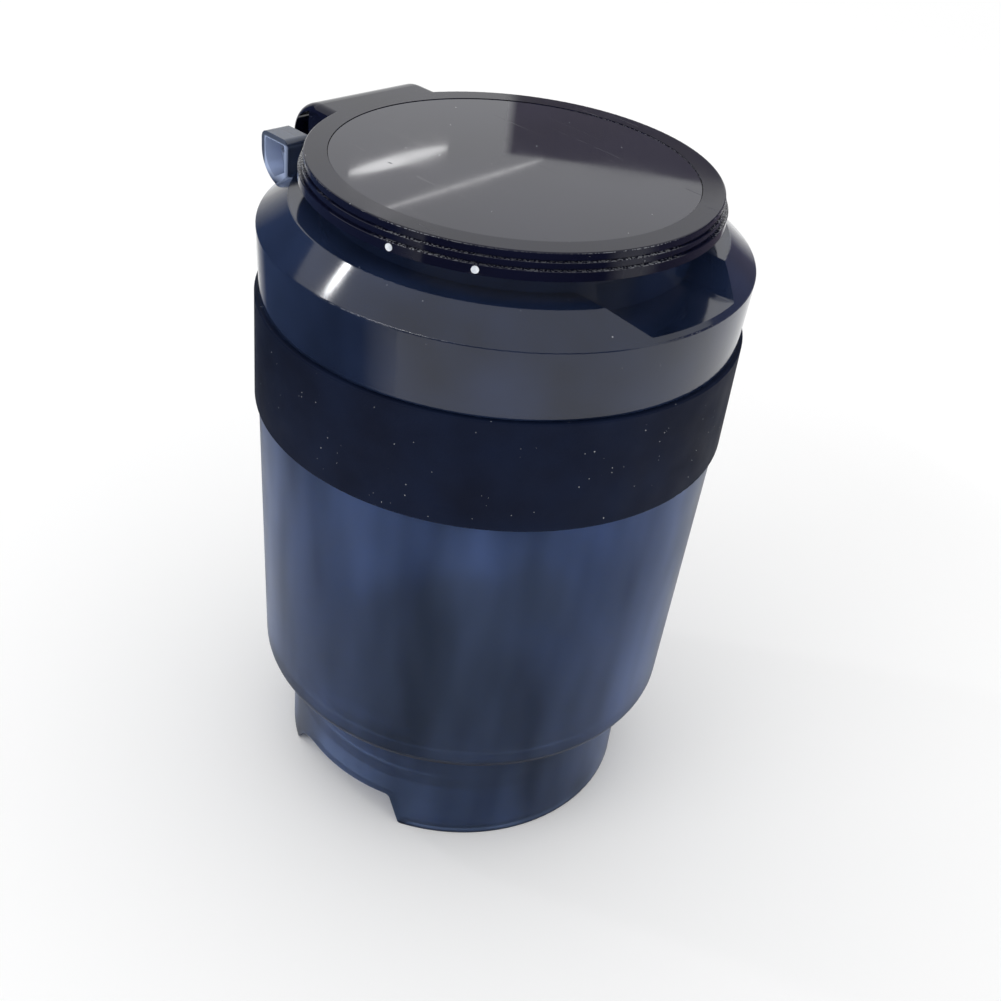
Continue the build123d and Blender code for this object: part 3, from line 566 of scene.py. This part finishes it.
def lamp(name, azimuth, elevation, distance, width, height, glow, lean=0.0):
    """A soft lamp that faces the lid; azimuth 0 lies behind the tank, seen from the camera."""
    data = bpy.data.lights.new(name, "AREA")
    data.shape = "ELLIPSE"
    data.size = width
    data.size_y = height
    data.energy = glow * width * height * pi**2 / 4
    away = radians(azimuth)
    climb = radians(elevation)
    way = Vector((sin(away) * cos(climb), cos(away) * cos(climb), sin(climb)))
    facing = way.to_track_quat("Z", "Y").to_matrix().to_4x4()
    stand = Matrix.Translation(way * distance + Vector((0, 0, lid_level)))
    tilt = Matrix.Rotation(radians(lean), 4, "Z")
    piece = bpy.data.objects.new(name, data)
    piece.matrix_world = Matrix.Rotation(radians(view_turn), 4, "Z") @ stand @ facing @ tilt
    piece.visible_camera = False
    bpy.context.collection.objects.link(piece)


lamp(
    "tube_near",
    azimuth=-6.1,
    elevation=20.9,
    distance=2.4,
    width=0.21,
    height=0.022,
    glow=3.4,
    lean=18.6,
)
lamp(
    "tube_far",
    azimuth=-3.3,
    elevation=22.0,
    distance=2.4,
    width=0.4,
    height=0.006,
    glow=2.5,
    lean=22.3,
)
lamp(
    "star_lamp",
    azimuth=-79.0,
    elevation=43.0,
    distance=1.5,
    width=0.07,
    height=0.07,
    glow=70.0,
)
lamp(
    "side_strip",
    azimuth=-129.0,
    elevation=40.0,
    distance=1.5,
    width=0.9,
    height=0.03,
    glow=38.0,
)

# Flags: dark cards that stand round the tank and are seen only in its gloss.
# They draw its edges as dark lines, and fade to white at both ends, so that none shows as a card.


def flag(name, start, end, radius, low, high, shade, soft_end):
    """A curved upright card, from one azimuth to another as the lamps count them."""
    card_steps = 24
    mesh = bpy.data.meshes.new(name)
    card = bmesh.new()
    side = Matrix.Rotation(radians(view_turn - start), 4, "Z")
    edge = [card.verts.new(side @ Vector((0, radius, level))) for level in (low, high)]
    card.edges.new(edge)
    bmesh.ops.spin(
        card,
        geom=card.verts[:] + card.edges[:],
        axis=(0, 0, 1),
        cent=(0, 0, 0),
        angle=radians(start - end),
        steps=card_steps,
    )
    card.to_mesh(mesh)
    card.free()
    piece = bpy.data.objects.new(name, mesh)
    bpy.context.collection.objects.link(piece)
    finish, tree, shader = new_finish(name, 0.0)
    middle = radians(view_turn + 90 - (start + end) / 2)
    round_place = place_on(tree, turn=(0, 0, -middle))
    round_share = put(
        tree, "ShaderNodeTexGradient", {"Vector": round_place}, gradient_type="RADIAL"
    )
    past_middle = sum_of(tree, "SUBTRACT", round_share.outputs["Fac"], 0.5)
    from_middle = sum_of(tree, "ABSOLUTE", past_middle, 0.0)
    half = (end - start) / 720
    fade = ramp(tree, from_middle, (half - soft_end / 360, half))
    white = (1, 1, 1, 1)
    tree.links.new(blend(tree, fade, (*shade, 1), white), shader.inputs["Base Color"])
    shader.inputs["Roughness"].default_value = 1.0
    dress(piece, finish)
    piece.visible_camera = False
    piece.visible_diffuse = False
    piece.visible_transmission = False
    piece.visible_shadow = False


flag(
    "flag_back",
    start=-0.8,
    end=12.0,
    radius=1.3,
    low=0.0,
    high=0.652,
    shade=(0.2, 0.18, 0.2),
    soft_end=0.5,
)
flag(
    "flag_right",
    start=25.0,
    end=110.0,
    radius=0.36,
    low=0.0,
    high=0.36,
    shade=(0.14, 0.12, 0.15),
    soft_end=12.0,
)
flag(
    "flag_left",
    start=-142.0,
    end=-40.0,
    radius=0.2,
    low=0.0,
    high=0.27,
    shade=(0.06, 0.09, 0.18),
    soft_end=16.0,
)
flag(
    "flag_front",
    start=120.0,
    end=230.0,
    radius=0.38,
    low=0.0,
    high=0.3,
    shade=(0.03, 0.03, 0.04),
    soft_end=10.0,
)

# Camera: it stands before the notch, to the left of it, and looks down on the lid.
# It is held close and a little rolled, so the tank leans and tapers towards its foot.
camera_distance = 0.2918
camera_height = 0.2862
camera_pan = -1.238
camera_tilt = 35.09
camera_roll = 7.283
focal_pixels = 1290.9
picture_pixels = 1001
sensor_width = 36.0
camera_data = bpy.data.cameras.new("camera")
camera_data.sensor_width = sensor_width
camera_data.lens = sensor_width * focal_pixels / picture_pixels
camera_data.clip_start = 0.01
camera = bpy.data.objects.new("camera", camera_data)
bpy.context.collection.objects.link(camera)
turn = Matrix.Rotation(radians(view_turn), 4, "Z")
aim = (
    Matrix.Rotation(radians(camera_pan), 4, "Z")
    @ Matrix.Rotation(radians(90 - camera_tilt), 4, "X")
    @ Matrix.Rotation(radians(camera_roll), 4, "Z")
)
camera.matrix_world = turn @ Matrix.Translation((0, -camera_distance, camera_height)) @ aim
bpy.context.scene.camera = camera
